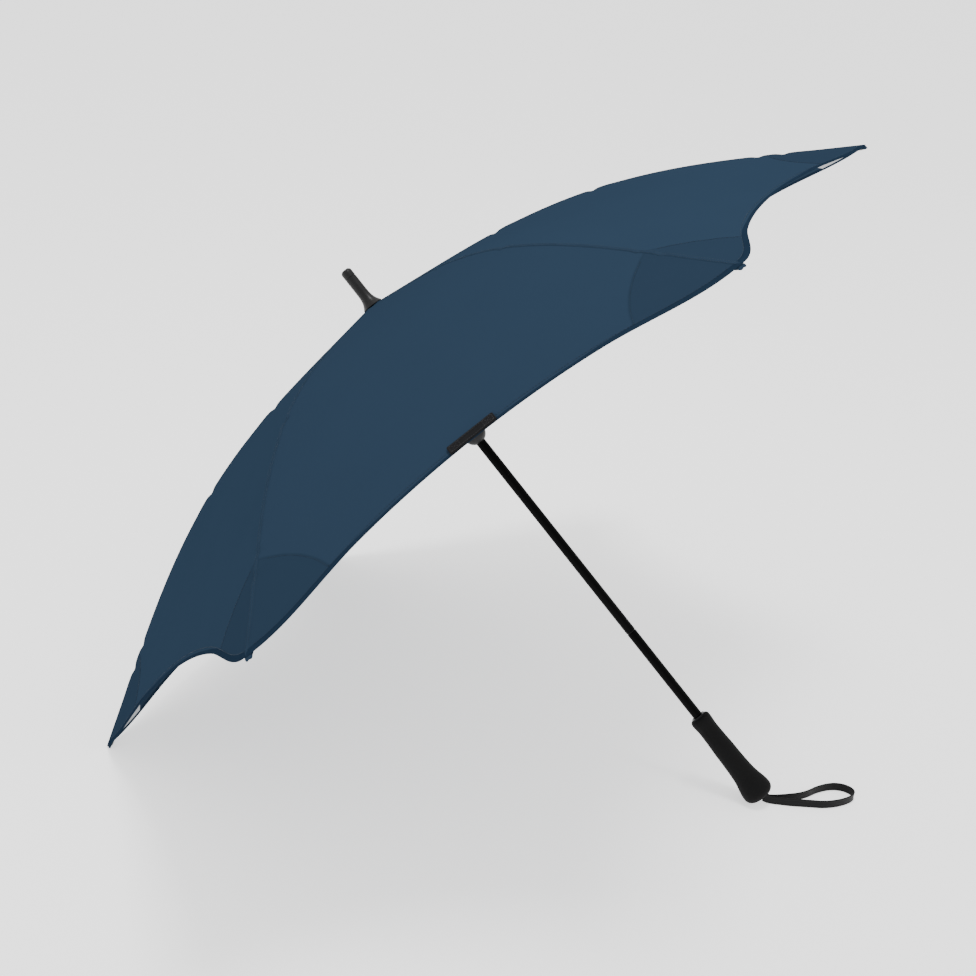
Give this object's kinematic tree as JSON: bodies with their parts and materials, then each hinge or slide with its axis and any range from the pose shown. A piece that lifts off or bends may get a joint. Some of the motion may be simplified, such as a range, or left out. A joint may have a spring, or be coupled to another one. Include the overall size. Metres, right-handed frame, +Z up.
{
  "type": "stick umbrella",
  "caption": "Open stick umbrella with a six-panel domed canopy, sliding runner, hinged ribs and stretchers, straight handle and wrist strap.",
  "frame": {"origin": "on the floor, under the centre of the umbrella's outline seen from above, wrist strap left out", "axes": "+X is the way the handle points along the floor, +Y is across the canopy towards the panel without the tie, +Z is up from the floor"},
  "size_m": [0.8771, 1.2054, 0.7753],
  "materials": {
    "canopy_fabric": "dark navy woven polyester pongee, matt with a slight sheen",
    "tie_webbing": "black woven webbing, stitched round its edge",
    "strap_webbing": "black flat woven webbing",
    "shaft_paint": "black painted steel tube, satin",
    "bright_steel": "plain steel, satin",
    "fibreglass": "black pultruded fibreglass",
    "black_plastic": "black moulded plastic, satin",
    "runner_plastic": "dark grey moulded plastic, satin",
    "grip_rubber": "black soft-touch rubber, matt"
  },
  "bodies": {
    "frame": {"shaft_upper": "shaft_paint", "shaft_lower": "shaft_paint", "shaft_coupler": "bright_steel", "ferrule": "black_plastic", "crown_notch": "black_plastic", "crown_wire": "bright_steel", "handle_grip": "grip_rubber", "handle_core": "black_plastic", "handle_end_plug": "black_plastic", "wrist_strap": "strap_webbing"},
    "runner": {"runner": "runner_plastic"},
    "top_catch": {"top_catch": "bright_steel"},
    "bottom_catch": {"bottom_catch": "bright_steel"},
    "rib_1": {"rib_1": "fibreglass", "rib_tip_1": "black_plastic", "rib_bracket_1": "black_plastic", "rib_pin_1": "bright_steel"},
    "stretcher_1": {"stretcher_1": "bright_steel"},
    "gore_1": {"gore_1": "canopy_fabric"},
    "rib_2": {"rib_2": "fibreglass", "rib_tip_2": "black_plastic", "rib_bracket_2": "black_plastic", "rib_pin_2": "bright_steel"},
    "stretcher_2": {"stretcher_2": "bright_steel"},
    "gore_2": {"gore_2": "canopy_fabric"},
    "rib_3": {"rib_3": "fibreglass", "rib_tip_3": "black_plastic", "rib_bracket_3": "black_plastic", "rib_pin_3": "bright_steel"},
    "stretcher_3": {"stretcher_3": "bright_steel"},
    "gore_3": {"gore_3": "canopy_fabric"},
    "rib_4": {"rib_4": "fibreglass", "rib_tip_4": "black_plastic", "rib_bracket_4": "black_plastic", "rib_pin_4": "bright_steel"},
    "stretcher_4": {"stretcher_4": "bright_steel"},
    "gore_4": {"gore_4": "canopy_fabric"},
    "rib_5": {"rib_5": "fibreglass", "rib_tip_5": "black_plastic", "rib_bracket_5": "black_plastic", "rib_pin_5": "bright_steel"},
    "stretcher_5": {"stretcher_5": "bright_steel"},
    "gore_5": {"gore_5": "canopy_fabric"},
    "rib_6": {"rib_6": "fibreglass", "rib_tip_6": "black_plastic", "rib_bracket_6": "black_plastic", "rib_pin_6": "bright_steel"},
    "stretcher_6": {"stretcher_6": "bright_steel"},
    "gore_6": {"gore_6": "canopy_fabric", "tie_pad": "tie_webbing", "tie_band": "tie_webbing"}
  },
  "joints": [
    {"name": "runner_slide", "type": "slide", "parent": "frame", "child": "runner", "axis": [0.7421, 0, -0.6703], "range_m": [0, 0.41066]},
    {"name": "rib_hinge_1", "type": "hinge", "parent": "frame", "child": "rib_1", "pos_m": [-0.19262, 0.0045, 0.53763], "axis": [-0.3351, 0.866, -0.371], "range_deg": [-0.3, 68.7]},
    {"name": "stretcher_hinge_1", "type": "hinge", "parent": "rib_1", "child": "stretcher_1", "pos_m": [0.00665, 0.14204, 0.67867], "axis": [0.3351, -0.866, 0.371], "range_deg": [-0.3, 129.67]},
    {"name": "gore_hinge_1", "type": "hinge", "parent": "frame", "child": "gore_1", "pos_m": [-0.19181, 0, 0.53853], "axis": [0, 1, 0], "range_deg": [-0.3, 64.8], "deforming": ["gore_1"]},
    {"name": "rib_hinge_2", "type": "hinge", "parent": "frame", "child": "rib_2", "pos_m": [-0.19785, 0.009, 0.53185], "axis": [-0.6703, 0, -0.7421], "range_deg": [-0.3, 68.7]},
    {"name": "stretcher_hinge_2", "type": "hinge", "parent": "rib_2", "child": "stretcher_2", "pos_m": [-0.15826, 0.28409, 0.49609], "axis": [0.6703, 0, 0.7421], "range_deg": [-0.3, 129.67]},
    {"name": "gore_hinge_2", "type": "hinge", "parent": "frame", "child": "gore_2", "pos_m": [-0.19483, 0.00779, 0.53519], "axis": [-0.5805, 0.5, -0.6427], "range_deg": [-0.3, 64.8], "deforming": ["gore_2"]},
    {"name": "rib_hinge_3", "type": "hinge", "parent": "frame", "child": "rib_3", "pos_m": [-0.20307, 0.0045, 0.52606], "axis": [-0.3351, -0.866, -0.371], "range_deg": [-0.3, 68.7]},
    {"name": "stretcher_hinge_3", "type": "hinge", "parent": "rib_3", "child": "stretcher_3", "pos_m": [-0.32317, 0.14204, 0.31352], "axis": [0.3351, 0.866, 0.371], "range_deg": [-0.3, 129.67]},
    {"name": "gore_hinge_3", "type": "hinge", "parent": "frame", "child": "gore_3", "pos_m": [-0.20086, 0.00779, 0.52851], "axis": [-0.5805, -0.5, -0.6427], "range_deg": [-0.3, 64.8], "deforming": ["gore_3"]},
    {"name": "rib_hinge_4", "type": "hinge", "parent": "frame", "child": "rib_4", "pos_m": [-0.20307, -0.0045, 0.52606], "axis": [0.3351, -0.866, 0.371], "range_deg": [-0.3, 68.7]},
    {"name": "stretcher_hinge_4", "type": "hinge", "parent": "rib_4", "child": "stretcher_4", "pos_m": [-0.32317, -0.14204, 0.31352], "axis": [-0.3351, 0.866, -0.371], "range_deg": [-0.3, 129.67]},
    {"name": "gore_hinge_4", "type": "hinge", "parent": "frame", "child": "gore_4", "pos_m": [-0.20388, 0, 0.52517], "axis": [0, -1, 0], "range_deg": [-0.3, 64.8], "deforming": ["gore_4"]},
    {"name": "rib_hinge_5", "type": "hinge", "parent": "frame", "child": "rib_5", "pos_m": [-0.19785, -0.009, 0.53185], "axis": [0.6703, 0, 0.7421], "range_deg": [-0.3, 68.7]},
    {"name": "stretcher_hinge_5", "type": "hinge", "parent": "rib_5", "child": "stretcher_5", "pos_m": [-0.15826, -0.28409, 0.49609], "axis": [-0.6703, 0, -0.7421], "range_deg": [-0.3, 129.67]},
    {"name": "gore_hinge_5", "type": "hinge", "parent": "frame", "child": "gore_5", "pos_m": [-0.20086, -0.00779, 0.52851], "axis": [0.5805, -0.5, 0.6427], "range_deg": [-0.3, 64.8], "deforming": ["gore_5"]},
    {"name": "rib_hinge_6", "type": "hinge", "parent": "frame", "child": "rib_6", "pos_m": [-0.19262, -0.0045, 0.53763], "axis": [0.3351, 0.866, 0.371], "range_deg": [-0.3, 68.7]},
    {"name": "stretcher_hinge_6", "type": "hinge", "parent": "rib_6", "child": "stretcher_6", "pos_m": [0.00665, -0.14204, 0.67867], "axis": [-0.3351, -0.866, -0.371], "range_deg": [-0.3, 129.67]},
    {"name": "gore_hinge_6", "type": "hinge", "parent": "frame", "child": "gore_6", "pos_m": [-0.19483, -0.00779, 0.53519], "axis": [0.5805, 0.5, 0.6427], "range_deg": [-0.3, 64.8], "deforming": ["gore_6", "tie_pad", "tie_band"]},
    {"name": "top_catch_press", "type": "slide", "parent": "frame", "child": "top_catch", "axis": [0.3351, -0.866, 0.371], "range_m": [0, 0.0023], "stiffness_N_per_m": 400},
    {"name": "bottom_catch_press", "type": "slide", "parent": "frame", "child": "bottom_catch", "axis": [0.3351, -0.866, 0.371], "range_m": [0, 0.0023], "stiffness_N_per_m": 400}
  ],
  "couplings": [
    {"joint": "rib_hinge_1", "follows": "runner_slide", "rad_per_m": 2.9071},
    {"joint": "stretcher_hinge_1", "follows": "runner_slide", "rad_per_m": 5.4984},
    {"joint": "gore_hinge_1", "follows": "runner_slide", "rad_per_m": 2.7413},
    {"joint": "rib_hinge_2", "follows": "runner_slide", "rad_per_m": 2.9071},
    {"joint": "stretcher_hinge_2", "follows": "runner_slide", "rad_per_m": 5.4984},
    {"joint": "gore_hinge_2", "follows": "runner_slide", "rad_per_m": 2.7413},
    {"joint": "rib_hinge_3", "follows": "runner_slide", "rad_per_m": 2.9071},
    {"joint": "stretcher_hinge_3", "follows": "runner_slide", "rad_per_m": 5.4984},
    {"joint": "gore_hinge_3", "follows": "runner_slide", "rad_per_m": 2.7413},
    {"joint": "rib_hinge_4", "follows": "runner_slide", "rad_per_m": 2.9071},
    {"joint": "stretcher_hinge_4", "follows": "runner_slide", "rad_per_m": 5.4984},
    {"joint": "gore_hinge_4", "follows": "runner_slide", "rad_per_m": 2.7413},
    {"joint": "rib_hinge_5", "follows": "runner_slide", "rad_per_m": 2.9071},
    {"joint": "stretcher_hinge_5", "follows": "runner_slide", "rad_per_m": 5.4984},
    {"joint": "gore_hinge_5", "follows": "runner_slide", "rad_per_m": 2.7413},
    {"joint": "rib_hinge_6", "follows": "runner_slide", "rad_per_m": 2.9071},
    {"joint": "stretcher_hinge_6", "follows": "runner_slide", "rad_per_m": 5.4984},
    {"joint": "gore_hinge_6", "follows": "runner_slide", "rad_per_m": 2.7413}
  ]
}
